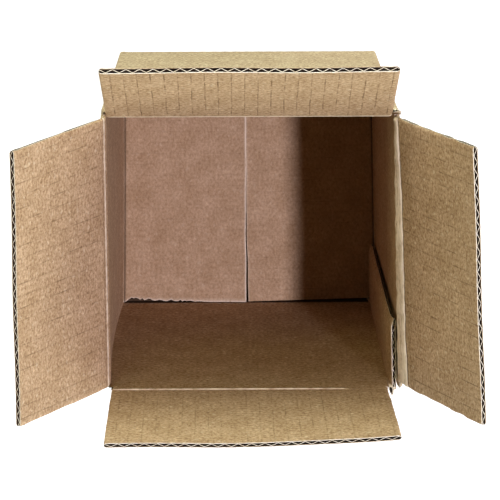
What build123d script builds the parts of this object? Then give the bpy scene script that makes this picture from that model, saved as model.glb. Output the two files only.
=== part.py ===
# Open corrugated box: a regular slotted carton of single-wall kraft board that stands on its taped bottom
# with its four top flaps folded open. Millimetres, +Z up, +X to the right, +Y to the back.
# The origin is the centre of the underside.

import os
from math import atan2, degrees, floor, sin, tan, radians

from build123d import *

# Inside of the box
inner_width = 150.0
inner_depth = 150.0
inner_height = 150.0

# Board: two paper facings with a fluted paper between them
board = 3.0
facing = 0.4
fluting = 0.35
flute_pitch = 6.7

# Sheet that the box is folded from
slot_width = 7.0
slot_drop = 1.5
fold_radius = 2.0
top_seam = 2.0
bottom_seam = 0.6

# Joint tab, inside the right wall at the front corner, and its line of glue
tab_width = 38.0
tab_gap = 1.0
glue_width = 18.0
glue_height = 100.0
glue_bite = 0.2

# Creases of the top flaps, and the air between flaps that lie on each other at the bottom and at the top
hinge_standoff = 0.15
crease_gap = 0.35
crushed_width = 5.0
layer_gap = 0.3
lid_gap = 1.0

# How far each top flap leans out from upright
back_lean = 29.9
front_lean = -1.1
left_lean = 33.4
right_lean = 30.6

# How much narrower the left flap is at its free edge than at its crease
left_taper = 2.8

# Packing tape along the bottom seam
tape_width = 48.0
tape_thickness = 0.1
tape_rise = 45.0

# Walls, from the middle of the board
mid_x = inner_width / 2 + board / 2
mid_y = inner_depth / 2 + board / 2
outer_x = mid_x + board / 2
outer_y = mid_y + board / 2

# The right wall lies over the tab, so its front end stands out by the tab and the glue
joint_shift = board + tab_gap
joint_turn = degrees(atan2(joint_shift, 2 * mid_y))
joint_slope = tan(radians(joint_turn))

# Levels, from the tape up: outer bottom flaps, inner bottom flaps, then the creases of the top flaps
outer_bottom = tape_thickness + board / 2
inner_bottom = outer_bottom + board + layer_gap
floor_level = inner_bottom + board / 2
minor_crease = floor_level + inner_height + board + hinge_standoff
major_crease = minor_crease + board + lid_gap
slot_low = floor_level + fold_radius
slot_high = minor_crease - crease_gap - board - slot_drop

# Top flaps: each pair meets at the middle when closed, and each is as wide as its wall less the slots
major_length = outer_y + hinge_standoff - top_seam / 2
minor_length = outer_x + hinge_standoff - top_seam / 2
joint_trim = minor_length * sin(radians(joint_turn))
front_width = 2 * outer_x - slot_width
left_width = 2 * outer_y - slot_width
right_width = left_width - joint_trim


# Section across a wall, with its origin on the outer face: x points into the box, y up, z along the wall
def wall_section(inward, place):
    return Plane(origin=place, x_dir=inward, z_dir=inward.cross(Vector(0, 0, 1)))


front = wall_section(Vector(0, 1, 0), Vector(0, -outer_y, 0))
back = wall_section(Vector(0, -1, 0), Vector(0, outer_y, 0))
left = wall_section(Vector(1, 0, 0), Vector(-outer_x, 0, 0))
right_inward = Vector(-1, 0, 0).rotate(Axis.Z, joint_turn)
right_middle = Vector(mid_x + joint_shift / 2, 0, 0) - right_inward * (board / 2)
right = wall_section(right_inward, right_middle)
right = Plane(right.origin + right.z_dir * (joint_trim / 2), x_dir=right.x_dir, z_dir=right.z_dir)


# Open cells of a raw edge, with x along the edge and y from the outer facing to the inner one
def flute_cells(width):
    inner_line = board - facing
    flank = atan2(inner_line - facing, flute_pitch / 2)
    half_base = flute_pitch / 2 - fluting / sin(flank) / 2
    apex = half_base * tan(flank)
    count = max(2, floor((width - 2 * facing) / flute_pitch))
    with GridLocations(flute_pitch, 1, count, 1):
        Polygon((-half_base, facing), (half_base, facing), (0, facing + apex), align=None)
    with GridLocations(flute_pitch, 1, count - 1, 1):
        Polygon((-half_base, inner_line), (0, inner_line - apex), (half_base, inner_line), align=None)


# Body: one folded sheet
with BuildPart() as box_body:
    # Four walls, from the tab's free edge round to the raw edge that covers it
    wall_corner = Vector(mid_x, mid_y)
    tab_corner = Vector(mid_x, -mid_y)
    along_right = Vector(-joint_slope, 1).normalized()
    with BuildSketch(Plane.XY.offset(slot_low)):
        with BuildLine():
            FilletPolyline(
                tab_corner + along_right * tab_width,
                tab_corner,
                Vector(-mid_x, -mid_y),
                Vector(-mid_x, mid_y),
                wall_corner,
                Vector(mid_x + joint_slope * (mid_y + outer_y), -outer_y),
                radius=fold_radius,
            )
        trace(line_width=board)
    extrude(amount=slot_high - slot_low)

    # Line of glue that fills the gap between tab and wall
    glue_middle = tab_corner + Vector(joint_shift / 2, 0) + along_right * (tab_width / 2)
    with BuildSketch(Plane.XY.offset(slot_low)):
        with BuildLine():
            Line(glue_middle - along_right * (glue_width / 2), glue_middle + along_right * (glue_width / 2))
        trace(line_width=tab_gap + 2 * glue_bite)
    extrude(amount=glue_height)

    # Upper end of each wall, from the slots to the crushed crease, mitred so that the flap can close
    for section, crease, width in (
        (front, major_crease, front_width),
        (back, major_crease, front_width),
        (left, minor_crease, left_width),
        (right, minor_crease, right_width),
    ):
        with BuildSketch(section):
            with BuildLine():
                Polyline(
                    (0, slot_high),
                    (0, crease - crease_gap),
                    (board, crease - crease_gap - board),
                    (board, slot_high),
                    close=True,
                )
            make_face()
        extrude(amount=width / 2, both=True)

    # Lower end of each wall, folded in to a bottom flap that reaches the middle seam
    for section, level, reach, width in (
        (front, outer_bottom, outer_y - bottom_seam / 2, front_width),
        (back, outer_bottom, outer_y - bottom_seam / 2, front_width),
        (left, inner_bottom, outer_x - bottom_seam / 2, left_width),
        (right, inner_bottom, outer_x - bottom_seam / 2, right_width),
    ):
        with BuildSketch(section):
            with BuildLine():
                FilletPolyline((board / 2, slot_low), (board / 2, level), (reach, level), radius=fold_radius)
            trace(line_width=board)
        extrude(amount=width / 2, both=True)

    # Raw upper end of the tab, with its flutes open
    tab_end_middle = tab_corner + along_right * (tab_width / 2 + fold_radius / 2)
    tab_end_outer = tab_end_middle + Vector(along_right.Y, -along_right.X) * (board / 2)
    with BuildSketch(Plane(tab_end_outer + Vector(0, 0, slot_high), x_dir=along_right, z_dir=(0, 0, 1))):
        flute_cells(tab_width - fold_radius)
    extrude(amount=-(slot_high - slot_low), mode=Mode.SUBTRACT)


# Top flap: a flat leaf that leans out from its wall and shows its flutes along the free edge
def top_flap(name, section, crease, lean, length, width, free_width):
    hinge_point = section.origin + Vector(0, 0, crease) - section.x_dir * hinge_standoff
    leaf_inward = section.x_dir.rotate(Axis((0, 0, 0), section.z_dir), lean)
    leaf = Plane(hinge_point, x_dir=leaf_inward, z_dir=section.z_dir)
    outer_face = Plane(hinge_point + leaf.x_dir * hinge_standoff, x_dir=leaf.z_dir, z_dir=-leaf.x_dir)
    free_edge = Plane(outer_face.origin + leaf.y_dir * length, x_dir=leaf.z_dir, z_dir=leaf.y_dir)
    with BuildPart() as flap:
        with BuildSketch(outer_face):
            with BuildLine():
                Polyline(
                    (-width / 2, crease_gap),
                    (width / 2, crease_gap),
                    (free_width / 2, length),
                    (-free_width / 2, length),
                    close=True,
                )
            make_face()
        extrude(amount=-board)
        # Mitre along the crease, so that the flap can close
        with BuildSketch(leaf):
            with BuildLine():
                Polyline(
                    (hinge_standoff, crease_gap),
                    (hinge_standoff + board, crease_gap),
                    (hinge_standoff + board, crease_gap + board),
                    close=True,
                )
            make_face()
        extrude(amount=width, both=True, mode=Mode.SUBTRACT)
        # Open flutes, from the free edge to the crushed board beside the crease
        with BuildSketch(free_edge):
            flute_cells(free_width)
        extrude(amount=-(length - crease_gap - board - crushed_width), mode=Mode.SUBTRACT)
    flap.part.label = name
    export_step(flap.part, f"parts/{name}.step")


# Tape: a flat strip under the seam, turned up at both ends against the left and right walls
with BuildPart() as bottom_tape:
    turn_radius = slot_width / 2
    with BuildSketch():
        Rectangle(2 * outer_x - 4 * turn_radius, tape_width)
    extrude(amount=tape_thickness)
    for section in (left, right):
        middle = section.origin - section.z_dir * section.origin.Y / section.z_dir.Y
        strip = Plane(middle, x_dir=section.x_dir, z_dir=section.z_dir)
        with BuildSketch(strip):
            with BuildLine():
                FilletPolyline(
                    (-tape_thickness / 2, tape_rise),
                    (-tape_thickness / 2, tape_thickness / 2),
                    (4 * turn_radius, tape_thickness / 2),
                    radius=turn_radius,
                )
            trace(line_width=tape_thickness)
        extrude(amount=tape_width / 2, both=True)

os.makedirs("parts", exist_ok=True)
box_body.part.label = "box_body"
export_step(box_body.part, "parts/box_body.step")
bottom_tape.part.label = "bottom_tape"
export_step(bottom_tape.part, "parts/bottom_tape.step")
top_flap("back_flap", back, major_crease, back_lean, major_length, front_width, front_width)
top_flap("front_flap", front, major_crease, front_lean, major_length, front_width, front_width)
top_flap("left_flap", left, minor_crease, left_lean, minor_length, left_width, left_width - left_taper)
top_flap("right_flap", right, minor_crease, right_lean, minor_length, right_width, right_width)
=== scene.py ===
import bpy
import numpy as np
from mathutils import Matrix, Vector


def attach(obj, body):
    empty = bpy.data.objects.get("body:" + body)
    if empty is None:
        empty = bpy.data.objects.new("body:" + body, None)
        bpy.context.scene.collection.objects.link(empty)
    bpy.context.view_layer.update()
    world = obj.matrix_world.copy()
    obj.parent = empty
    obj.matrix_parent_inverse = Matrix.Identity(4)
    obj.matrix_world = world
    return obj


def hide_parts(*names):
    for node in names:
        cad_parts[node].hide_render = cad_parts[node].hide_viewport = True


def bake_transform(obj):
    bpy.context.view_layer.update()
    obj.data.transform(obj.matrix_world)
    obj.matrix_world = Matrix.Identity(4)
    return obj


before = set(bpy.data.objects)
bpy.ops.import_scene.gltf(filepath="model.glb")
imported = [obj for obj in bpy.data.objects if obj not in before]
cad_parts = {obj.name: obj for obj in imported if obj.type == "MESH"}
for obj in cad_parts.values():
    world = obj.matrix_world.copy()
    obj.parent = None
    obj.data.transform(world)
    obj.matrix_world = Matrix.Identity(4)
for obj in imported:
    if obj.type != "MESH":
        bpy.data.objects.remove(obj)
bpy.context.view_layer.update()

# Box body: one die-cut sheet of single-wall kraft board, two liners with a fluted paper glued between them.
# It is folded at four upright score lines, a tab is glued inside the right wall, and the bottom flaps are
# folded in, left and right first, then front and back under them. Sizes are millimetres until it is folded.
board = 3.0
liner = 0.4
fluting = 0.35
pitch = 6.7
half = 76.5
outside = 78.0
tab_width = 38.0
joint_shift = 4.0
joint_turn = np.arctan2(joint_shift, 2 * half)
fold_radius = 2.0
slot_half = 2.0
wall_foot = 2.2
slot_low = 8.4
slot_high = 154.7
minor_crease = 159.55
major_crease = 163.55
seam_drop = 4.2

# Middle line of the sheet round the box, from the tab's free edge by the front right, front left, back left
# and back right folds to the raw edge of the right wall
front_left, back_left, back_right = 2 * half * np.arange(1, 4)
right_slot = 608.02
raw_edge = back_right + (half + outside) / np.cos(joint_turn)
sheet_stations = np.array((-tab_width, 0.0, front_left, back_left, back_right, raw_edge))
sheet_corners = np.array((
    (half - tab_width * np.sin(joint_turn), -half + tab_width * np.cos(joint_turn)),
    (half, -half),
    (-half, -half),
    (-half, half),
    (half, half),
    (half + np.tan(joint_turn) * (half + outside), -outside),
))


# Place on the middle line and the way that faces into the box, with a tight rounded fold at each corner
def round_the_box(across):
    runs = np.diff(sheet_corners, axis=0)
    runs = runs / np.linalg.norm(runs, axis=1)[:, None]
    inwards = np.stack((runs[:, 1], -runs[:, 0]), axis=1)
    run = np.clip(np.searchsorted(sheet_stations, across, side="right") - 1, 0, len(runs) - 1)
    place = sheet_corners[run] + runs[run] * (across - sheet_stations[run])[:, None]
    inward = inwards[run].copy()
    for corner in range(1, len(runs)):
        before, inward_before = runs[corner - 1], inwards[corner - 1]
        bend = np.arccos(before @ runs[corner])
        radius = fold_radius / np.tan(bend / 2)
        share = (across - sheet_stations[corner] + fold_radius) / (2 * fold_radius)
        on_fold = (share > 0) & (share < 1)
        turn = (share[on_fold] * bend)[:, None]
        middle = sheet_corners[corner] - before * fold_radius + inward_before * radius
        facing_in = inward_before * np.sqrt(np.clip(np.cos(turn), 0, 1)) - before * np.sqrt(np.sin(turn))
        place[on_fold] = middle - facing_in * radius
        inward[on_fold] = facing_in
    return place, inward


# Ups and downs that differ from flute to flute, the same on every run
def uneven(number, kind):
    wave = np.sin(number * 12.9898 + kind * 78.233) * 43758.5453
    return 2 * (wave - np.floor(wave)) - 1


# Flute line from -1 at the outer liner to 1 at the inner one, with straight flanks and rounded tips
def flute_wave(across):
    phase = across / pitch - np.floor(across / pitch)
    flank = 1 - 4 * np.abs(phase - 0.5)
    return 0.75 * flank + 0.25 * np.sin(flank * np.pi / 2)


# The liners sink a little between the flute tips that carry them
def washboard(across):
    sunk = 0.11
    return sunk * (1 - flute_wave(across)) / 2


# Columns on the flutes' own steps, so that every tip and flank has its line of points
def flute_columns(start, end, steps):
    step = pitch / steps
    inner = np.arange(np.ceil(start / step + 0.2), np.floor(end / step - 0.2) + 1) * step
    return np.concatenate(([start], inner, [end]))


def points_of(mesh):
    points = np.empty(len(mesh.vertices) * 3)
    mesh.vertices.foreach_get("co", points)
    return points.reshape(-1, 3)


def move_points(mesh, points):
    mesh.vertices.foreach_set("co", points.ravel())
    mesh.update()


# One flat paper of the board: x across the flutes, y along them, z from the outer face to the inner one.
# The materials are those of its inner face, its cut edge and its outer face.
def flat_paper(name, across, along, level, thickness, materials, cut_away=None):
    bpy.ops.object.select_all(action="DESELECT")
    bpy.ops.mesh.primitive_grid_add(
        x_subdivisions=len(across) - 1, y_subdivisions=len(along) - 1, size=1)
    paper = bpy.context.object
    paper.name = name
    for material in materials:
        paper.data.materials.append(material)
    points = points_of(paper.data)
    column = np.rint((points[:, 0] + 0.5) * (len(across) - 1)).astype(int)
    row = np.rint((points[:, 1] + 0.5) * (len(along) - 1)).astype(int)
    points[:, 0] = across[column]
    points[:, 1] = along[row]
    points[:, 2] = level(points[:, 0], points[:, 1])
    move_points(paper.data, points)
    if cut_away:
        bpy.ops.object.mode_set(mode="EDIT")
        bpy.ops.mesh.select_mode(type="FACE")
        bpy.ops.mesh.select_all(action="DESELECT")
        bpy.ops.object.mode_set(mode="OBJECT")
        middles = np.empty(len(paper.data.polygons) * 3)
        paper.data.polygons.foreach_get("center", middles)
        middles = middles.reshape(-1, 3)
        paper.data.polygons.foreach_set("select", cut_away(middles[:, 0], middles[:, 1]))
        bpy.ops.object.mode_set(mode="EDIT")
        bpy.ops.mesh.delete(type="FACE")
        bpy.ops.object.mode_set(mode="OBJECT")
    thick = paper.modifiers.new("thickness", "SOLIDIFY")
    thick.thickness = thickness
    thick.offset = 0
    thick.material_offset = 2
    thick.material_offset_rim = 1
    bpy.ops.object.modifier_apply(modifier="thickness")
    return paper


# Joins the others into the piece
def join_to(piece, others):
    bpy.ops.object.select_all(action="DESELECT")
    for other in others:
        other.select_set(True)
    piece.select_set(True)
    bpy.context.view_layer.objects.active = piece
    bpy.ops.object.join()


# Keeps the papers' flat places as the piece's UV map, in metres and a metre apart, marks where they are
# rubbed pale or painted with highlight, lined, painted with shade or pressed smooth, and folds and joins them
def lay_up(name, papers, fold, **marks):
    for number, paper in enumerate(papers):
        points = points_of(paper.data)
        corner_points = np.empty(len(paper.data.loops), dtype=np.int32)
        paper.data.loops.foreach_get("vertex_index", corner_points)
        flat_places = points[corner_points][:, :2] / 1000 + np.array((number, 0.0))
        paper.data.uv_layers[0].name = "flat"
        paper.data.uv_layers[0].data.foreach_set("uv", flat_places.ravel())
        inner = points[:, 2] > board - liner - 0.9
        for mark in ("worn", "scored", "soiled", "smoothed"):
            layer = paper.data.attributes.new(mark, "FLOAT", "POINT")
            strength = np.zeros(len(points))
            if mark in marks:
                strength = marks[mark](points[:, 0], points[:, 1], inner)
            layer.data.foreach_set("value", strength.astype(np.float32))
        move_points(paper.data, fold(*points.T) / 1000)
    piece = papers[0]
    join_to(piece, papers[1:])
    piece.name = name
    piece.data.name = name
    bpy.ops.object.shade_smooth_by_angle(angle=0.7)
    return piece


def colour(code):
    parts = np.array([int(code[i:i + 2], 16) for i in (1, 3, 5)]) / 255
    linear = np.where(parts <= 0.04045, parts / 12.92, ((parts + 0.055) / 1.055) ** 2.4)
    return (*linear, 1.0)


def add_node(tree, kind, sockets=None, **settings):
    node = tree.nodes.new(kind)
    for key, value in settings.items():
        setattr(node, key, value)
    for key, value in (sockets or {}).items():
        if isinstance(value, bpy.types.NodeSocket):
            tree.links.new(value, node.inputs[key])
        else:
            node.inputs[key].default_value = value
    return node


def new_material(name):
    material = bpy.data.materials.new(name)
    material.use_nodes = True
    material.node_tree.nodes.clear()
    return material, material.node_tree


# How often a pattern of the given size in millimetres, across and along the flutes, comes in a metre of sheet
def per_metre(across, along):
    return 1000 / across, 1000 / along, 1.0


# Kraft liners, unbleached and machine-made: short fibres lie mostly across the flutes, with cloudy tone, dark
# flecks and pale shives. The outer one is paler. Folds and edges are rubbed pale, and on the top flaps'
# creases the pale is partly painted highlight. Thin dark lines along the flute tips are partly creases where
# the tips press through and partly painted shade of the washboard, and painted shade darkens the bottom
# folds' corners and the right flap's pressed line. Fibres and flecks are drawn coarse enough to show.
fibre_size = (1.7857, 1.4706)
fleck_share = 0.62
cloud_size = 13.333
crease_wander = 22.222
crease_break = (3.3333, 16.129)
pale_patch_size = (6.6667, 1.6129)
liners = {}
for title, dark_tone, pale_tone in (
        ("kraft_inner_liner", "#C0A079", "#D5B690"),
        ("kraft_outer_liner", "#CBB18D", "#DDC6A2")):
    liners[title], tree = new_material(title)
    flat = add_node(tree, "ShaderNodeUVMap", uv_map="flat").outputs[0]
    fibre_way = add_node(
        tree, "ShaderNodeVectorMath", {0: flat, 1: per_metre(*fibre_size)}, operation="MULTIPLY").outputs[0]
    fibres = add_node(tree, "ShaderNodeTexNoise", {
        "Vector": fibre_way, "Scale": 1.0, "Detail": 4.0, "Roughness": 0.7})
    clouds = add_node(tree, "ShaderNodeTexNoise", {
        "Vector": flat, "Scale": 1000 / cloud_size, "Detail": 4.0, "Roughness": 0.55})
    flecks = add_node(tree, "ShaderNodeTexNoise", {
        "Vector": fibre_way, "Scale": fleck_share, "Detail": 1.0, "Roughness": 0.4})
    smoothed = add_node(tree, "ShaderNodeAttribute", attribute_name="smoothed")
    plainer = add_node(tree, "ShaderNodeMath", {
        0: smoothed.outputs["Fac"], 1: -0.5, 2: 0.38}, operation="MULTIPLY_ADD")
    dark_flecks = add_node(tree, "ShaderNodeMapRange", {
        "Value": flecks.outputs[0], 1: 0.36, 2: 0.26, 3: 0.0, 4: plainer.outputs[0]})
    pale_shives = add_node(tree, "ShaderNodeMapRange", {
        "Value": flecks.outputs[0], 1: 0.64, 2: 0.76, 3: 0.0, 4: plainer.outputs[0]})
    cloud_share = add_node(tree, "ShaderNodeMapRange", {"Value": clouds.outputs[0], 1: 0.3, 2: 0.7})
    tone = add_node(tree, "ShaderNodeMix", {
        0: cloud_share.outputs[0], 6: colour(dark_tone), 7: colour(pale_tone)}, data_type="RGBA")
    least = add_node(tree, "ShaderNodeMath", {0: smoothed.outputs["Fac"], 1: 0.5}, operation="MULTIPLY")
    most = add_node(tree, "ShaderNodeMath", {0: 1.0, 1: least.outputs[0]}, operation="SUBTRACT")
    fibre_share = add_node(tree, "ShaderNodeMapRange", {
        "Value": fibres.outputs[0], 1: 0.32, 2: 0.68, 3: least.outputs[0], 4: most.outputs[0]})
    grain = add_node(tree, "ShaderNodeMix", {
        0: fibre_share.outputs[0], 6: colour("#A99A8C"), 7: colour("#FFFFFF")}, data_type="RGBA")
    grained = add_node(tree, "ShaderNodeMix", {
        0: 1.0, 6: tone.outputs[2], 7: grain.outputs[2]}, data_type="RGBA", blend_type="MULTIPLY")
    flecked = add_node(tree, "ShaderNodeMix", {
        0: dark_flecks.outputs[0], 6: grained.outputs[2], 7: colour("#6E4F2E")}, data_type="RGBA")
    shived = add_node(tree, "ShaderNodeMix", {
        0: pale_shives.outputs[0], 6: flecked.outputs[2], 7: colour("#E6D3B2")}, data_type="RGBA")
    # Thin dark lines along the flutes: partly creases where the tips press through, partly painted shade of
    # the washboard's dips
    flat_parts = add_node(tree, "ShaderNodeSeparateXYZ", {0: flat})
    tips = add_node(tree, "ShaderNodeMath", {0: flat_parts.outputs[0], 1: 1000 / pitch}, operation="MULTIPLY")
    wander = add_node(tree, "ShaderNodeTexNoise", {
        "Vector": flat, "Scale": 1000 / crease_wander, "Detail": 2.0})
    wandered = add_node(tree, "ShaderNodeMath", {
        0: wander.outputs[0], 1: 0.14, 2: tips.outputs[0]}, operation="MULTIPLY_ADD")
    tip_phase = add_node(tree, "ShaderNodeMath", {0: wandered.outputs[0]}, operation="FRACT")
    from_line = add_node(tree, "ShaderNodeMath", {0: tip_phase.outputs[0], 1: 0.07}, operation="SUBTRACT")
    line_gap = add_node(tree, "ShaderNodeMath", {0: from_line.outputs[0]}, operation="ABSOLUTE")
    line = add_node(tree, "ShaderNodeMapRange", {
        "Value": line_gap.outputs[0], 1: 0.025, 2: 0.068, 3: 1.0, 4: 0.0})
    break_way = add_node(
        tree, "ShaderNodeVectorMath", {0: flat, 1: per_metre(*crease_break)}, operation="MULTIPLY").outputs[0]
    breaks = add_node(tree, "ShaderNodeTexNoise", {
        "Vector": break_way, "Scale": 1.0, "Detail": 3.0, "Roughness": 0.65})
    broken = add_node(tree, "ShaderNodeMapRange", {"Value": breaks.outputs[0], 1: 0.40, 2: 0.66})
    scored = add_node(tree, "ShaderNodeAttribute", attribute_name="scored")
    broken_line = add_node(tree, "ShaderNodeMath", {
        0: line.outputs[0], 1: broken.outputs[0]}, operation="MULTIPLY")
    line_share = add_node(tree, "ShaderNodeMath", {
        0: broken_line.outputs[0], 1: scored.outputs["Fac"]}, operation="MULTIPLY")
    lined = add_node(tree, "ShaderNodeMix", {
        0: line_share.outputs[0], 6: shived.outputs[2], 7: colour("#553A1E")}, data_type="RGBA")
    # Pale rubbing on folds, torn tips and flap edges; on the top flaps' creases it is partly painted
    # highlight
    worn = add_node(tree, "ShaderNodeAttribute", attribute_name="worn")
    pale_patch_way = add_node(
        tree, "ShaderNodeVectorMath", {0: flat, 1: per_metre(*pale_patch_size)}, operation="MULTIPLY").outputs[0]
    pale_patches = add_node(tree, "ShaderNodeTexNoise", {"Vector": pale_patch_way, "Scale": 1.0, "Detail": 3.0})
    pale_patch_range = add_node(tree, "ShaderNodeMapRange", {
        "Value": pale_patches.outputs[0], 1: 0.28, 2: 0.46, 3: 0.25, 4: 1.0})
    pale_patch_share = add_node(tree, "ShaderNodeMath", {
        0: pale_patch_range.outputs[0], 1: worn.outputs["Fac"]}, operation="MULTIPLY")
    pale_patched = add_node(tree, "ShaderNodeMix", {
        0: pale_patch_share.outputs[0], 6: lined.outputs[2], 7: colour("#F1E0C2")}, data_type="RGBA")
    # Painted shade: dark brown mixed in at the bottom folds' inner corners, in the gap by the left bottom
    # flap's front edge, and along the right flap's pressed line
    soiled = add_node(tree, "ShaderNodeAttribute", attribute_name="soiled")
    shaded_tone = add_node(tree, "ShaderNodeMix", {
        0: soiled.outputs["Fac"], 6: pale_patched.outputs[2], 7: colour("#2B1C10")}, data_type="RGBA")
    relief = add_node(tree, "ShaderNodeMath", {
        0: line_share.outputs[0], 1: -1.2, 2: fibres.outputs[0]}, operation="MULTIPLY_ADD")
    bump = add_node(tree, "ShaderNodeBump", {
        "Strength": 0.45, "Distance": 0.0003, "Height": relief.outputs[0]})
    skin = add_node(tree, "ShaderNodeBsdfPrincipled", {
        "Base Color": shaded_tone.outputs[2], "Roughness": 0.9, "Specular IOR Level": 0.12,
        "Normal": bump.outputs[0]})
    add_node(tree, "ShaderNodeOutputMaterial", {0: skin.outputs[0]})

# Cut edge of the papers: torn and cut fibre ends, paler and rougher than the pressed face
fibre_end_size = 1.1111
cut_edge, tree = new_material("cut_paper_edge")
flat = add_node(tree, "ShaderNodeUVMap", uv_map="flat").outputs[0]
ends = add_node(tree, "ShaderNodeTexNoise", {
    "Vector": flat, "Scale": 1000 / fibre_end_size, "Detail": 3.0, "Roughness": 0.65})
end_share = add_node(tree, "ShaderNodeMapRange", {"Value": ends.outputs[0], 1: 0.3, 2: 0.65})
end_tone = add_node(tree, "ShaderNodeMix", {
    0: end_share.outputs[0], 6: colour("#D2BA96"), 7: colour("#F6EAD6")}, data_type="RGBA")
end_bump = add_node(tree, "ShaderNodeBump", {"Strength": 0.5, "Distance": 0.0002, "Height": ends.outputs[0]})
ends_skin = add_node(tree, "ShaderNodeBsdfPrincipled", {
    "Base Color": end_tone.outputs[2], "Roughness": 0.92, "Specular IOR Level": 0.2,
    "Normal": end_bump.outputs[0]})
add_node(tree, "ShaderNodeOutputMaterial", {0: ends_skin.outputs[0]})

# Fluting paper: thinner recycled paper, greyer than the liners and streaked along the flutes, and painted far
# darker still as painted shade inside the open flutes at the cut edges
streak_size = (0.76923, 6.25)
fluting_paper, tree = new_material("fluting_paper")
flat = add_node(tree, "ShaderNodeUVMap", uv_map="flat").outputs[0]
streak_way = add_node(
    tree, "ShaderNodeVectorMath", {0: flat, 1: per_metre(*streak_size)}, operation="MULTIPLY").outputs[0]
streaks = add_node(tree, "ShaderNodeTexNoise", {"Vector": streak_way, "Scale": 1.0, "Detail": 3.0})
streak_share = add_node(tree, "ShaderNodeMapRange", {"Value": streaks.outputs[0], 1: 0.3, 2: 0.7})
# Near-black browns: the paper's own greyer tone darkened into painted shade for the open flute cells
streak_tone = add_node(tree, "ShaderNodeMix", {
    0: streak_share.outputs[0], 6: colour("#2C1E12"), 7: colour("#44321F")}, data_type="RGBA")
streak_bump = add_node(tree, "ShaderNodeBump", {
    "Strength": 0.3, "Distance": 0.0002, "Height": streaks.outputs[0]})
fluting_skin = add_node(tree, "ShaderNodeBsdfPrincipled", {
    "Base Color": streak_tone.outputs[2], "Roughness": 0.9, "Specular IOR Level": 0.2,
    "Normal": streak_bump.outputs[0]})
add_node(tree, "ShaderNodeOutputMaterial", {0: fluting_skin.outputs[0]})

inner_papers = (liners["kraft_inner_liner"], cut_edge, fluting_paper)
outer_papers = (fluting_paper, liners["kraft_outer_liner"], liners["kraft_outer_liner"])
fluting_papers = (fluting_paper, cut_edge, fluting_paper)

# Walls: the flap zones reach up to the seams under the top creases, and the slots and the tab end lower
flap_zones = (
    (slot_half, front_left - slot_half, major_crease),
    (front_left + slot_half, back_left - slot_half, minor_crease),
    (back_left + slot_half, back_right - slot_half, major_crease),
    (back_right + slot_half, right_slot, minor_crease),
)
seams = (minor_crease - seam_drop, major_crease - seam_drop)
wall_rows = np.concatenate((
    (wall_foot, 5.3), np.linspace(slot_low, 145.0, 10),
    (148.0, 150.0, 152.6, slot_high, seams[0], 157.4, seams[1])))
fluting_wall_rows = np.array((wall_foot, slot_low, 50.0, 100.0, 150.0, slot_high, *seams))


def off_the_wall(across, along):
    top = np.full(across.shape, slot_high)
    foot = np.full(across.shape, wall_foot)
    for start, end, crease in flap_zones:
        on_zone = (across > start) & (across < end)
        top = np.where(on_zone, crease - seam_drop, top)
        foot = np.where(on_zone, slot_low, foot)
    tab_start = -3.8
    slit_start, slit_foot = 1.5, 150.0
    foot = np.where(across < tab_start, slot_low, foot)
    slit = (across > slit_start) & (across < slot_half) & (along > slit_foot)
    return (along > top) | (along < foot) | slit


def wall_columns(steps):
    spans = [(-tab_width, -slot_half), *(zone[:2] for zone in flap_zones), (right_slot, raw_edge)]
    parts = [flute_columns(start, end, steps) for start, end in spans]
    for corner in sheet_stations[1:5]:
        parts.append(np.linspace(corner - fold_radius, corner + fold_radius, 9))
    return np.unique(np.round(np.concatenate(parts), 4))


# The tab's upper end is torn: its papers stop at different heights from flute to flute, and they stand up as
# ragged tips beside the slots at the front right and back right corners
def torn_end(across, along, through):
    tear_from = 147.0
    tip_half = 1.7
    tip_start, tip_rise = -2.2, 2.6
    front_tip_height = 10.5
    inner_height, outer_height, fluting_height, uneven_height = 9.0, 5.5, 2.0, 1.6
    kind = np.where(through > board / 2, 5, 9)
    near_top = np.clip((along - tear_from) / (slot_high - tear_from), 0, 1)
    ragged = 0.9 * uneven(np.floor(across / 0.84), kind) + 0.8 * uneven(np.floor(across / 3.1), kind + 1)
    torn = np.where((across < -1.0) & (along > slot_high - 2.5), ragged, 0.0)
    tip_share = np.clip((across - tip_start) / tip_rise, 0, 1)
    on_front_tip = (across > tip_start) & (across < tip_half)
    front_tip = np.where(on_front_tip, front_tip_height * tip_share ** 2 * near_top, 0.0)
    tall = np.where(through > 2.2, inner_height, np.where(through < 0.7, outer_height, fluting_height))
    tall = tall + uneven_height * uneven(np.floor(across / 0.5), kind)
    back_tip = np.where(np.abs(across - back_right) < tip_half, tall * near_top, 0.0)
    return torn + front_tip + back_tip, back_tip


# The side walls stand a little closer together at the foot than at the rim, the back wall's foot is pushed
# in, and the front left corner is bellied out
def drawn_in(points):
    left_pull, left_twist, right_pull, back_pull = 0.031, 0.016, 0.047, 0.024
    bellied_out = 2.6
    share = np.clip(1 - points[:, 2] / slot_high, 0, 1)
    side, depth = points[:, 0].copy(), points[:, 1].copy()
    pull = np.where(side < 0, left_pull + left_twist * depth / half, right_pull)
    near_front_left = np.clip((10.0 - depth) / 85.0, 0, 1) ** 2 * np.clip(-side / half, 0, 1)
    belly = bellied_out * np.sin(np.pi * share) * near_front_left
    points[:, 0] = side * (1 - pull * share) - belly
    points[:, 1] = np.where(depth > 0, depth * (1 - back_pull * share), depth)
    return points


# The right wall stands off the tab towards the rim, and its flap comes back in line further up
def stood_out(across, height):
    most = 1.35
    set_in = 6.0
    over_rim = np.clip((height - minor_crease - 2.0) / 16.0, 0, 1)
    rising = np.clip(height / slot_high, 0, 1) ** 2 * (1 - over_rim * over_rim * (3 - 2 * over_rim))
    return most * np.clip((across - back_right + slot_half) / set_in, 0, 1) * rising


# A knife that cuts a slot presses the papers together along the cut
def pressed(across, start, end, through, amount):
    pressed_width = 0.9
    from_cut = np.minimum(np.abs(across - start), np.abs(end - across))
    squeeze = np.clip(1 - from_cut / pressed_width, 0, 1) * amount
    return through + (board / 2 - through) * squeeze


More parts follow.
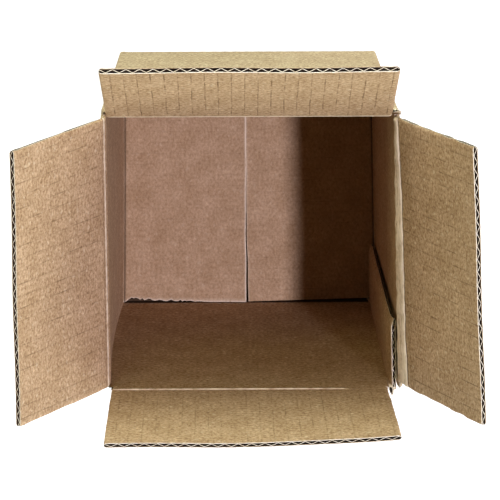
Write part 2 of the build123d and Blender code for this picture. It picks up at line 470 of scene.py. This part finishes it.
# The walls bow out a little, the tab's end is thinned and bent away, the front corners' feet are pushed in,
# and the papers are pressed together at the left corners' tops and at the top of the right wall's raw edge
wall_bow = 0.7
slot_press = 0.85
tab_end = 16.0
tab_end_thinned = 0.25
tab_end_bent = 1.30
tab_edge = 4.0
tab_edge_thinned = 0.62
corner_half = 2.3
foot_pushed_in = 1.3
left_top_press = 0.8
raw_top_press = 0.82
raw_top_start = 607.9


def fold_wall(across, along, through):
    place, inward = round_the_box(across)
    for start, end, crease in flap_zones:
        on_zone = (across >= start) & (across <= end) & (along > slot_high - 0.5)
        through = np.where(on_zone, pressed(across, start, end, through, slot_press), through)
    end_share = np.clip((along - slot_high + tab_end) / tab_end, 0, 1) ** 2 * (across < -1.0)
    edge_share = np.clip((tab_edge - tab_width - across) / tab_edge, 0, 1)
    rise, back_tip = torn_end(across, along, through)
    through = through * (1 - tab_end_thinned * end_share) * (1 - tab_edge_thinned * edge_share)
    through = through - tab_end_bent * end_share
    height = np.clip((along - slot_low) / (slot_high - slot_low), 0, 1)
    wall_start = sheet_stations[np.clip(np.searchsorted(sheet_stations, across) - 1, 0, 4)]
    wall_share = np.clip((across - wall_start) / (2 * half), 0, 1)
    bow = wall_bow * np.sin(np.pi * height) * np.sin(np.pi * wall_share) * np.where(across < 0, 0.0, 1.0)
    at_front_left = np.abs(across - front_left) < corner_half
    at_front = ((across > -4.5) & (across < corner_half)) | at_front_left
    pushed_in = foot_pushed_in * np.clip((slot_low - along) / 5.0, 0, 1) * at_front
    curl = 0.035 * back_tip ** 2 * np.where(through > board / 2, 1.0, 0.4)
    at_left = at_front_left | (np.abs(across - back_left) < corner_half)
    left_top = at_left * np.clip((along - slot_high + 4.0) / 3.0, 0, 1)
    through = through + (board / 2 - through) * left_top_press * left_top
    raw_top = (across > raw_top_start) * np.clip((along - slot_high + 6.0) / 4.0, 0, 1)
    through = through + (board / 2 + 0.6 - through) * raw_top_press * raw_top
    depth = through - board / 2 - bow + pushed_in - curl - stood_out(across, along)
    return drawn_in(np.column_stack((place + inward * depth[:, None], along + rise)))


# The washboard fades out towards the creases, where the score has crushed the flutes
def from_crease(across, along):
    top = np.full(across.shape, 1000.0)
    for start, end, crease in flap_zones:
        top = np.where((across >= start) & (across <= end), crease, top)
    return np.clip((top - along - seam_drop) / 10.0, 0, 1)


def outer_wall_level(across, along):
    return liner / 2 + washboard(across + pitch / 2) * from_crease(across, along)


def inner_wall_level(across, along):
    return board - liner / 2 - washboard(across) * from_crease(across, along)


def wall_fluting_level(across, along):
    swing = 0.90
    return board / 2 + swing * flute_wave(across)


def rubbed_tips(across, along, inner):
    beside_slots = (across < 1.8) | (np.abs(across - back_right) < 1.8)
    return np.clip((along - slot_high + 2.2) / 2.0, 0, 1) * beside_slots


def wall_lines(across, along, inner):
    return np.where(inner, 0.10, 0.06)


wall_papers = [
    flat_paper("outer_wall", wall_columns(4), wall_rows, outer_wall_level, liner, outer_papers, off_the_wall),
    flat_paper("inner_wall", wall_columns(4), wall_rows, inner_wall_level, liner, inner_papers, off_the_wall),
    flat_paper("wall_fluting", wall_columns(8), fluting_wall_rows, wall_fluting_level, fluting,
               fluting_papers, off_the_wall),
]
body = lay_up("box_body_board", wall_papers, fold_wall, worn=rubbed_tips, scored=wall_lines)

# Bottom flaps: each wall's lower end turns in on a tight radius, and its middle line lies at the given level.
# Left and right lie on top and meet a little left of the middle, with a seam that opens to the front. Front
# and back lie under them. Columns: name, zone of the sheet, level.
bottom_flaps = (
    ("front_bottom", 0, 1.6),
    ("back_bottom", 2, 1.6),
    ("left_bottom", 1, 4.9),
    ("right_bottom", 3, 4.9),
)
flap_width = front_left - 2 * slot_half
right_flap_width = 147.0
meeting_gap = 0.3
left_back_short, left_front_short = 0.9, 0.3
right_back_long, right_front_long = 1.47, 4.3
seam_opening = 1.45
seam_lift = 0.55
bottom_belly = 0.5
front_trim = 2.3
front_overhang = 0.3
ragged_depth = 0.75
ragged_step = 1.3


# The two upper flaps were cut with a slightly wavy edge, and they meet along it
def seam_wave(depth):
    return 0.16 * np.sin(depth * 0.09 + 0.6) + 0.10 * np.sin(depth * 0.23)


for title, zone, level in bottom_flaps:
    start, end, crease = flap_zones[zone]
    straight = slot_low - level - fold_radius
    turned = straight + np.pi * fold_radius / 2
    reach = outside - board / 2 - meeting_gap - fold_radius + turned
    # The left flap's front edge is ragged, so it has more rows of points
    steps = 56 if title == "left_bottom" else 9
    fold_rows = np.concatenate((
        np.linspace(0, straight, 3)[:-1], np.linspace(straight, turned, 8)[:-1],
        (turned, turned + 0.4, turned + 0.9)))
    edge_rows = (reach - 0.8, reach)
    rows = np.concatenate((fold_rows, np.linspace(turned + 1.8, reach - 1.5, steps), edge_rows))
    fluting_rows = np.concatenate((fold_rows, np.linspace(turned + 1.8, reach - 1.5, 9), edge_rows))

    def fold_bottom(across, along, through):
        place, inward = round_the_box(np.clip(across, start, end))
        down = slot_low - along
        arc = np.clip((down - straight) / fold_radius, 0, np.pi / 2)
        run = np.clip(down - turned, 0, None)
        ahead = run / (reach - turned)
        shift = np.zeros(across.shape)
        lift = np.zeros(across.shape)
        if title == "left_bottom":
            front_share = (end - across) / flap_width
            shorter = left_back_short + left_front_short * front_share
            shift = ahead * (seam_wave(across - front_left - half) - shorter)
            lift = seam_lift * np.clip((ahead - 0.8) / 0.2, 0, 1) ** 2
            ragged_share = np.clip(1 - ahead / 0.7, 0, 1)
            ragged = ragged_depth * uneven(np.floor(run / ragged_step), 3) * np.clip(2 * ragged_share, 0, 1)
            trim = front_trim * ragged_share - front_overhang * (1 - ragged_share) + ragged
            trim = trim * np.clip((start + 4.0 - across) / 4.0, 0, 1) * np.clip((run - 0.8) / 2.5, 0, 1)
            place = place + np.column_stack((np.zeros(across.shape), trim))
        if title == "right_bottom":
            front_share = (across - start) / right_flap_width
            opened = seam_opening * np.clip((front_share - 0.4) / 0.6, 0, 1) ** 1.3
            longer = right_back_long + right_front_long * front_share
            shift = ahead * (longer - opened - seam_wave(back_right + half - across))
        if title in ("left_bottom", "right_bottom"):
            lift = lift + bottom_belly * np.sin(np.pi * ahead) * np.sin(np.pi * (across - start) / flap_width)
        ring = fold_radius + board / 2 - through
        back = fold_radius - ring * np.cos(arc) + run + shift
        height = np.where(down <= straight, slot_low - down, level + fold_radius - ring * np.sin(arc))
        back = np.where(down <= straight, through - board / 2, back)
        return drawn_in(np.column_stack((place + inward * back[:, None], height + lift)))

    def outer_bottom_level(across, along):
        return liner / 2 + washboard(across + pitch / 2) * 0.7

    def inner_bottom_level(across, along):
        return board - liner / 2 - washboard(across) * 0.7

    def bottom_fluting_level(across, along):
        return board / 2 + 0.88 * flute_wave(across)

    def rubbed_edges(across, along, inner):
        seam = np.clip((slot_low - reach + 0.9 - along) / 0.6, 0, 1)
        if title != "left_bottom":
            return 0.3 * seam
        return np.maximum(seam, 0.8 * np.clip((front_left + 3.0 - across) / 0.8, 0, 1))

    # Painted shade: the front flap's fold is darkened where the left flap's trimmed front edge leaves a gap,
    # and the other flaps get a dark line in the inner corner where the fold meets the flat flap
    def fold_shade(across, along, inner):
        down = slot_low - along
        if title == "front_bottom":
            return 0.9 * np.clip((7.0 - down + turned) / 2.0, 0, 1) * (down > 1.0) * inner
        return 0.92 * np.exp(-((down - turned) / 0.7) ** 2) * inner

    def bottom_lines(across, along, inner):
        return np.where(inner, 0.16, 0.06)

    def bottom_pressed(across, along, inner):
        return np.where(inner, 0.45, 0.0)

    papers = [
        flat_paper(title + "_outer", flute_columns(start, end, 2), slot_low - rows[::-1],
                   outer_bottom_level, liner, outer_papers),
        flat_paper(title + "_inner", flute_columns(start, end, 4), slot_low - rows[::-1],
                   inner_bottom_level, liner, inner_papers),
        flat_paper(title + "_fluting", flute_columns(start, end, 6), slot_low - fluting_rows[::-1],
                   bottom_fluting_level, fluting, fluting_papers),
    ]
    flap = lay_up(title, papers, fold_bottom, worn=rubbed_edges, soiled=fold_shade, scored=bottom_lines,
                  smoothed=bottom_pressed)
    join_to(body, [flap])
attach(body, "box")
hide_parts("box_body")

# Bottom tape: one strip of buff parcel tape, polypropylene film with glue on its back, pulled off a roll and
# torn on a toothed blade. It covers the bottom seam and is pressed up both side walls.
tape_half = 24
tape_thick = 0.1
tape_rise = 45.0
turn_radius = 3.5
tooth_pitch = 2.0
tooth_depth = 1.3
right_wall_middle = 534.0
tape_columns = np.linspace(-tape_half, tape_half, 49)
tape_rows = np.linspace(-1, 1, 121)


def tape_level(across, along):
    return np.full(across.shape, tape_thick / 2)


# The strip runs from its left end at -1 to its right end at 1
def fold_tape(across, along, through):
    quarter = np.pi / 2 * turn_radius
    flat_run = np.where(along < 0, outside - turn_radius, outside + joint_shift / 2 - turn_radius)
    run = np.abs(along) * (flat_run + quarter + tape_rise - turn_radius)
    teeth = np.abs((across / tooth_pitch) % 1 - 0.5) * tooth_depth
    run = run - teeth * np.clip((np.abs(along) - 0.96) / 0.04, 0, 1)
    turn = np.clip((run - flat_run) / turn_radius, 0, np.pi / 2)
    climb = np.clip(run - flat_run - quarter, 0, None)
    wrinkle = 0.05 * np.sin(across * 0.55 + along * 9) * np.sin(along * 31 + 0.4 * across)
    wrinkle = np.abs(wrinkle * np.clip(np.abs(along) * 3, 0, 1))
    lift = through + wrinkle * np.where(turn > 0.05, 1.0, 0.0)
    side = np.where(run < flat_run, run, flat_run + (turn_radius + lift) * np.sin(turn))
    height = turn_radius - (turn_radius + lift) * np.cos(turn) + climb
    height = np.where(run < flat_run, tape_thick - through, np.maximum(height, 0.0))
    wall_share = np.clip((height - slot_low) / (slot_high - slot_low), 0, 1)
    side = side + wall_bow * np.sin(np.pi * wall_share) * np.cos(np.pi * across / (2 * half))
    side = side + np.where(along > 0, stood_out(np.full(across.shape, right_wall_middle), height), 0.0)
    skew = np.where(along > 0, -across * np.tan(joint_turn) * np.clip(turn / (np.pi / 2), 0, 1), 0.0)
    return drawn_in(np.column_stack((np.sign(along) * side + skew, across, height)))


# Buff parcel tape: stretched polypropylene film, smooth and shiny, with faint streaks along the strip
film_streak = (1.42857, 50.0)
parcel_tape, tree = new_material("buff_parcel_tape")
flat = add_node(tree, "ShaderNodeUVMap", uv_map="flat").outputs[0]
film_way = add_node(
    tree, "ShaderNodeVectorMath", {0: flat, 1: per_metre(*film_streak)}, operation="MULTIPLY").outputs[0]
film = add_node(tree, "ShaderNodeTexNoise", {"Vector": film_way, "Scale": 1.0, "Detail": 3.0})
film_share = add_node(tree, "ShaderNodeMapRange", {"Value": film.outputs[0], 1: 0.3, 2: 0.7})
film_tone = add_node(tree, "ShaderNodeMix", {
    0: film_share.outputs[0], 6: colour("#AD8550"), 7: colour("#B98F59")}, data_type="RGBA")
film_bump = add_node(tree, "ShaderNodeBump", {
    "Strength": 0.25, "Distance": 0.0001, "Height": film.outputs[0]})
film_skin = add_node(tree, "ShaderNodeBsdfPrincipled", {
    "Base Color": film_tone.outputs[2], "Roughness": 0.24, "IOR": 1.49, "Normal": film_bump.outputs[0]})
add_node(tree, "ShaderNodeOutputMaterial", {0: film_skin.outputs[0]})
tape_film = flat_paper(
    "bottom_tape_film", tape_columns, tape_rows, tape_level, tape_thick, (parcel_tape,) * 3)
tape = lay_up("bottom_tape_strip", [tape_film], fold_tape)
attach(tape, "box")
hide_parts("bottom_tape")

# Top flaps: the sheet's upper ends, leaning at their creases as they were left when opened. The score crushes
# the board, its inner liner is rubbed pale along the fold with painted highlight added, and the free edges
# show open flutes.
top_flaps = (
    # name, body, zone of the sheet, leans at the zone's start and end, how fast one gives way to the other,
    # widening at both ends of the free edge, half the score's width at both ends, depth of the score, height
    # of its ridge and where it runs, width of the pale band (rubbed, partly painted highlight) at both ends,
    # strength of the flute lines (creases, partly painted shade)
    ("left_flap", "left", 1, (33.7, 33.1), 1, (-1.4, -1.4),
     (0.35, 0.35), 0.95, 0.36, 0.0, (0.55, 0.55), 0.48),
    ("right_flap", "right", 3, (27.6, 30.9), 1, (0.0, 1.3),
     (0.6, 0.8), 0.60, 0.2, -0.5, (1.9, 9.4), 0.55),
    ("front_flap", "front", 0, (-1.75, 0.95), 4, (2.6, 0.5),
     (0.35, 0.35), 0.10, 0.55, -0.8, (0.75, 0.75), 0.38),
    ("back_flap", "back", 2, (29.9, 30.3), 1, (0.0, 0.0),
     (0.35, 0.35), 1.05, 0.42, 0.0, (0.65, 0.95), 0.85),
)
length = 77.15
hinge_gap = 0.15
flap_fluting = 0.30
flute_swing = 0.90
crease_turn = 1.2
leaf_warp = 0.35
edge_press = 0.14
edge_press_width = 5.0
for (title, moving, zone, leans, bend, widening,
        score, depth, ridge_height, line_at, band, line_strength) in top_flaps:
    start, end, crease = flap_zones[zone]
    # The right flap was bent twice: a wide band beside its crease slopes off to a second, thinly pressed line
    bent_twice = max(band) > 2
    # The front flap's free edge is pressed thin, and its crease has sprung back flat towards its right end
    sprung = title == "front_flap"
    pinch = edge_press if sprung else 0.0

    def sharpness(across):
        return np.clip((across - 22.0) / 5.0, 0.1, 1) if sprung else 1.0

    def score_half(across):
        wavy_edge = 1 + 0.16 * np.sin(across * 0.37) + 0.10 * np.sin(across * 1.07)
        return np.interp(across, (start, end), score) * wavy_edge

    # The pale band beside the crease, rubbed and partly painted highlight, grows wider along the flap
    def band_end(across):
        share = (across - start) / (end - start)
        grown = np.interp(share, (0, 0.28, 0.65, 0.82, 1), (0, 0.45, 0.63, 0.68, 1))
        wavy_edge = 1 + 0.035 * np.sin(across * 0.29) + 0.02 * np.sin(across * 0.83)
        return (band[0] + (band[1] - band[0]) * grown) * wavy_edge

    # The ridge that the fold has raised on the inner liner wanders a little
    def ridge_line(across):
        return line_at + 0.14 * np.sin(across * 0.9) + 0.12 * np.sin(across * 0.31)

    def second_line(across, along):
        return np.exp(-((along - band_end(across)) / 0.35) ** 2) * bent_twice

    # How deep the inner liner is pressed in, or raised where it is less than nothing
    def dip(across, along):
        if not bent_twice:
            return depth * np.exp(-(np.clip(np.abs(along) - score_half(across) * 0.7, 0, None) / 1.7) ** 2)
        band_share = np.clip(along / band_end(across), 0, 1)
        sloping = np.where(along > 0, 1 - band_share ** 3, np.exp(-(along / 0.8) ** 2))
        wobble = 1 + 0.6 * np.sin(across * 0.42) * np.sin(across * 0.13 + 0.7)
        return depth * (second_line(across, along) - wobble * sloping)

    # The outer liner is drawn in along the crease
    def groove(along):
        return 0.22 * np.exp(-(along / 1.1) ** 2)

    def bead(across, along):
        return ridge_height * sharpness(across) * np.exp(-((along - ridge_line(across)) / 0.5) ** 2)

    # The washboard of the flutes comes back away from the crease
    def spread(along):
        return np.clip((np.abs(along) - 3.0) / 9.0, 0, 1)

    def outer_flap_level(across, along):
        return liner / 2 + washboard(across + pitch / 2) * spread(along) + groove(along)

    def inner_flap_level(across, along):
        level = board - liner / 2 - washboard(across) * spread(along)
        return level - dip(across, along) + bead(across, along)

    def flap_fluting_level(across, along):
        crushed = 1 - 0.06 * (1 + uneven(np.floor(across / pitch + 0.25), zone))
        swing = flute_swing - dip(across, along) / 2 - groove(along) / 2
        return board / 2 - dip(across, along) / 2 + swing * flute_wave(across) * crushed

    # The leaf turns at its crease by the lean, widens and warps towards its free edge, and its cut ends are
    # pressed unevenly
    def fold_flap(across, along, through):
        cut = np.where(np.abs(along) < 6.0, 0.96, 0.45 + 0.35 * uneven(np.floor(along / 7.0), zone))
        through = pressed(across, start, end, through, cut)
        near_edge = np.clip((along - length + edge_press_width) / edge_press_width, 0, 1)
        through = through + (board / 2 - through) * pinch * near_edge
        share = (across - start) / (end - start)
        up = np.clip(along / length, 0, 1)
        place, inward = round_the_box(np.clip(across, start + 0.01, end - 0.01))
        aside = up * np.interp(share, (0, 1), (-widening[0], widening[1]))
        place = place + np.column_stack((-inward[:, 1], inward[:, 0])) * aside[:, None]
        lean = np.radians(leans[1] + (leans[0] - leans[1]) * (1 - share) ** bend)
        width = score_half(across)
        first = np.clip((along + width) / crease_turn + 0.5, 0, 1)
        second = np.clip((along - width) / crease_turn + 0.5, 0, 1)
        turn = lean * (first * first * (3 - 2 * first) + second * second * (3 - 2 * second)) / 2
        warp = leaf_warp * np.sin(2 * np.pi * share * 1.3 + zone) * up * up * np.sin(np.pi * share)
        deep = through + hinge_gap + warp
        on_leaf = np.where(along > 0, lean, 0.0)
        outward = along * -np.sin(on_leaf) + deep * np.cos(turn)
        height = crease + along * np.cos(on_leaf) + deep * np.sin(turn)
        outward = outward - board / 2 - hinge_gap - stood_out(across, height)
        return np.column_stack((place + inward * outward[:, None], height))

    # Pale band and ridge along the crease: partly the liner rubbed pale, partly painted highlight where the
    # fold catches the light
    def rubbed_and_highlit_crease(across, along, inner):
        band_low = np.clip((along - ridge_line(across) + 0.7) / 0.3, 0, 1)
        band_high = band_end(across) + line_at * (not bent_twice)
        on_band = band_low * np.clip((band_high - along) / 0.4, 0, 1)
        beyond = np.zeros(across.shape)
        if bent_twice:
            ridge = np.exp(-((along - ridge_line(across)) / 0.7) ** 2)
            streak = np.floor(along / 0.6)
            streaks = 0.25 * uneven(streak + 17 * np.floor(across / 10.0 + 0.618 * streak), 31)
            towards_line = np.clip(along / band_end(across), 0, 1) ** 3
            on_band = on_band * np.maximum(0.6 + streaks + (0.4 - streaks) * towards_line, ridge)
            beyond = 0.45 * np.exp(-((along - band_end(across) - 2.2) / 0.3) ** 2)
            beyond = beyond * np.clip((across - 500.0) / 100.0, 0, 1)
        return np.where(inner, 1.0, 0.35) * np.maximum(on_band * sharpness(across), beyond)

    def flap_lines(across, along, inner):
        return np.where(inner, line_strength, 0.2) * np.clip((along - 2.0) / 6.0, 0, 1)

    # Painted shade along the right flap's second pressed line, darker towards the front end
    def pressed_line_shade(across, along, inner):
        return inner * second_line(across, along) * np.interp(across, (start, end), (0.3, 0.9))

    fine = max(4.2, max(band) + 4.0)
    rows, fluting_rows = (
        np.concatenate((
            np.linspace(-seam_drop, fine, int((fine + seam_drop) / step) + 1),
            np.linspace(fine, length, coarse)[1:]))
        for step, coarse in ((0.3, 20), (0.5, 5)))
    columns = flute_columns(start, end, 8)
    papers = [
        flat_paper(title + "_outer", columns, rows, outer_flap_level, liner, outer_papers),
        flat_paper(title + "_inner", columns, rows, inner_flap_level, liner, inner_papers),
        flat_paper(title + "_fluting", columns, fluting_rows, flap_fluting_level, flap_fluting,
                   fluting_papers),
    ]
    flap = lay_up(title + "_board", papers, fold_flap, worn=rubbed_and_highlit_crease, scored=flap_lines,
                  soiled=pressed_line_shade)
    place, inward = round_the_box(np.array([(start + end) / 2]))
    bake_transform(flap)
    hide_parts(title)

# Studio floor: a plain white sweep that the box stands on. To the eye it is white all over but for the box's
# faint shadow, and it throws little light back on the box.


# What the eye sees, straight or in a shine, and not what lights the box
def seen_rays(tree):
    path = add_node(tree, "ShaderNodeLightPath")
    seen = add_node(tree, "ShaderNodeMath", {
        0: path.outputs["Is Camera Ray"], 1: path.outputs["Is Glossy Ray"]}, operation="MAXIMUM")
    return add_node(tree, "ShaderNodeMath", {
        0: seen.outputs[0], 1: path.outputs["Is Transmission Ray"]}, operation="MAXIMUM").outputs[0]


bpy.ops.object.select_all(action="DESELECT")
bpy.ops.mesh.primitive_grid_add(x_subdivisions=4, y_subdivisions=4, size=12, location=(0, 0, -0.0002))
floor = bpy.context.object
floor.name = "studio_floor"
white_floor, tree = new_material("white_studio_floor")
glow = add_node(tree, "ShaderNodeEmission", {"Color": (1, 1, 1, 1), "Strength": 0.95})
dark = add_node(tree, "ShaderNodeEmission", {"Color": (0, 0, 0, 1), "Strength": 0.0})
shown = add_node(tree, "ShaderNodeMixShader", {0: seen_rays(tree), 1: dark.outputs[0], 2: glow.outputs[0]})
matt = add_node(tree, "ShaderNodeBsdfDiffuse", {"Color": (0.35, 0.35, 0.35, 1)})
both = add_node(tree, "ShaderNodeAddShader", {0: shown.outputs[0], 1: matt.outputs[0]})
add_node(tree, "ShaderNodeOutputMaterial", {0: both.outputs[0]})
floor.data.materials.append(white_floor)

# Studio light: one small lamp above and to the right, which throws the right wall's shadow on the bottom, and
# broad soft ones on all four sides
world = bpy.data.worlds.new("studio_room")
bpy.context.scene.world = world
world.use_nodes = True
tree = world.node_tree
tree.nodes.clear()
room = add_node(tree, "ShaderNodeBackground", {"Color": (1, 1, 1, 1), "Strength": 0.01})
backdrop = add_node(tree, "ShaderNodeBackground", {"Color": (1, 1, 1, 1), "Strength": 1.0})
mixed = add_node(tree, "ShaderNodeMixShader", {
    0: seen_rays(tree), 1: room.outputs[0], 2: backdrop.outputs[0]})
add_node(tree, "ShaderNodeOutputWorld", {0: mixed.outputs[0]})
lamp_distance = 2.2


def studio_lamp(name, kind, toward, power, **settings):
    lamp = bpy.data.lights.new(name, kind)
    lamp.energy = power
    for key, value in settings.items():
        setattr(lamp, key, value)
    holder = bpy.data.objects.new(name, lamp)
    bpy.context.scene.collection.objects.link(holder)
    way = np.array(toward) / np.linalg.norm(toward)
    holder.location = tuple(way * lamp_distance)
    holder.rotation_mode = "QUATERNION"
    holder.rotation_quaternion = Vector(way).to_track_quat("Z", "Y")


key_tint = (0.95, 0.905, 1.16)
fill_tint = (0.87, 1.0, 0.94)
soft_lamps = (
    # name, where it stands, power, width, height, tint
    ("back_fill", (0.0, 0.965, 0.262), 56.0, 2.4, 0.7, fill_tint),
    ("front_fill", (0.22, -0.87, 0.43), 48.0, 2.4, 0.9, fill_tint),
    ("right_fill", (0.97, 0.0, 0.22), 17.0, 2.4, 0.5, fill_tint),
    ("left_fill", (-0.90, 0.0, 0.43), 15.0, 2.4, 0.9, (0.95, 1.0, 0.78)),
    ("high_back_fill", (-0.12, 0.70, 0.66), 5.5, 1.6, 0.3, (1.0, 0.98, 0.5)),
    ("upper_fill", (0.70, 0.0, 0.71), 6.5, 2.4, 0.3, key_tint),
)
studio_lamp("key_lamp", "SUN", (0.32, 0.05, 0.947), 2.45, angle=0.085, color=key_tint)
for name, toward, power, width, height, tint in soft_lamps:
    studio_lamp(name, "AREA", toward, power, shape="RECTANGLE", size=width, size_y=height, color=tint)

# Camera: above the box, a little behind it, looking down into it
lens = bpy.data.cameras.new("photo_camera")
lens.lens = 192.28
lens.sensor_width = 36.0
lens.clip_start = 0.01
camera = bpy.data.objects.new("photo_camera", lens)
bpy.context.scene.collection.objects.link(camera)
camera.location = (-0.00536, 0.40025, 1.52044)
camera.rotation_mode = "ZYX"
camera.rotation_euler = tuple(np.radians((-16.31, -0.23, -0.24)))
bpy.context.scene.camera = camera
bpy.context.scene.view_settings.view_transform = "Standard"
